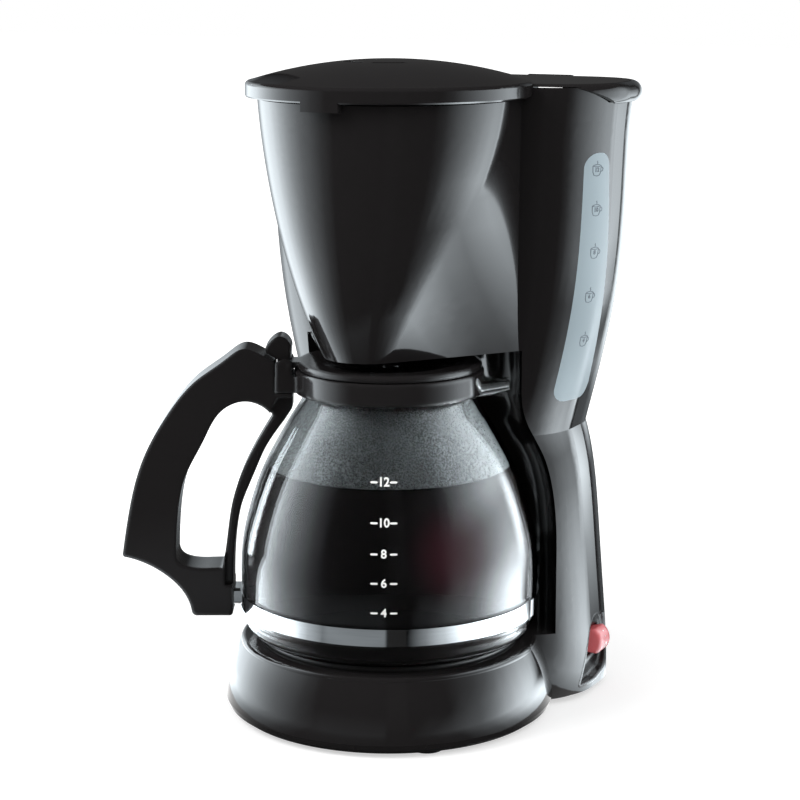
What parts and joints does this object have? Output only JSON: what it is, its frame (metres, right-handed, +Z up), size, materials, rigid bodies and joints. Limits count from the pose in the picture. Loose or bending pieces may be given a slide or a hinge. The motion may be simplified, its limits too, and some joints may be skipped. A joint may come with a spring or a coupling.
{
  "type": "drip coffee maker",
  "caption": "Black drip coffee maker with a domed hinged lid, rear water tank and window, warming base, lit rocker switch and a lidded glass carafe that slides out.",
  "frame": {"origin": "on the table, under the middle of the whole outline, carafe handle included", "axes": "+Z up; -Y towards the user, where the carafe comes out; +X to the side with the water window and switch"},
  "size_m": [0.2294, 0.1978, 0.332],
  "materials": {
    "body_black": "high gloss moulded black",
    "lid_black": "high gloss moulded black",
    "trim_black": "matt moulded black",
    "carafe_black": "satin moulded black",
    "basket_black": "matt moulded black",
    "window_clear": "frosted translucent",
    "carafe_glass": "clear blown glass",
    "band_bright": "polished",
    "plate_coat": "dark non-stick coat",
    "rocker_red": "translucent red, lit from inside",
    "aluminium": "drawn tube",
    "steel": "zinc plated",
    "rubber": "matt",
    "silicone": "milky silicone"
  },
  "bodies": {
    "machine": {"lower_body": "body_black", "upper_body": "body_black", "brew_housing": "body_black", "bottom_plate": "trim_black", "switch_bezel": "trim_black", "switch_body": "trim_black", "thermostat": "trim_black", "filter_basket": "basket_black", "tank_strainer": "basket_black", "water_window": "window_clear", "warming_plate": "plate_coat", "heater_tube": "aluminium", "riser_tube": "aluminium", "plate_screws": "steel", "body_screws": "steel", "clamp_screw": "steel", "heater_clamp": "steel", "hose_clips": "steel", "heating_rod": "steel", "thermal_fuses": "steel", "lid_pins": "steel", "rubber_feet": "rubber", "plate_gasket": "rubber", "cord_grommet": "rubber", "inlet_hose": "silicone", "riser_hose": "silicone", "one_way_valve": "silicone"},
    "lid": {"lid": "lid_black", "shower_head": "basket_black"},
    "drip_valve": {"drip_valve": "basket_black", "valve_seal": "rubber", "valve_spring": "steel"},
    "rocker": {"switch_rocker": "rocker_red"},
    "carafe": {"carafe_glass": "carafe_glass", "carafe_band": "band_bright", "carafe_collar": "carafe_black", "carafe_handle": "carafe_black", "band_screw": "steel", "carafe_lid_pin": "steel"},
    "carafe_lid": {"carafe_lid": "carafe_black"}
  },
  "joints": [
    {"name": "lid_hinge", "type": "hinge", "parent": "machine", "child": "lid", "pos_m": [0.01108, 0.0929, 0.317], "axis": [-1, 0, 0], "range_deg": [0, 95]},
    {"name": "carafe_slide", "type": "slide", "parent": "machine", "child": "carafe", "axis": [0, -1, 0], "range_m": [0, 0.2]},
    {"name": "carafe_lid_hinge", "type": "hinge", "parent": "carafe", "child": "carafe_lid", "pos_m": [-0.03504, -0.03811, 0.1805], "axis": [0.4617, -0.887, 0], "range_deg": [0, 3]},
    {"name": "drip_valve_slide", "type": "slide", "parent": "machine", "child": "drip_valve", "axis": [0, 0, 1], "range_m": [0, 0.003], "stiffness_N_per_m": 120, "springref_m": -0.002, "deforming": ["valve_spring"]},
    {"name": "power_rocker", "type": "hinge", "parent": "machine", "child": "rocker", "pos_m": [0.09108, 0.0569, 0.026], "axis": [0, 1, 0], "range_deg": [0, 12]}
  ]
}
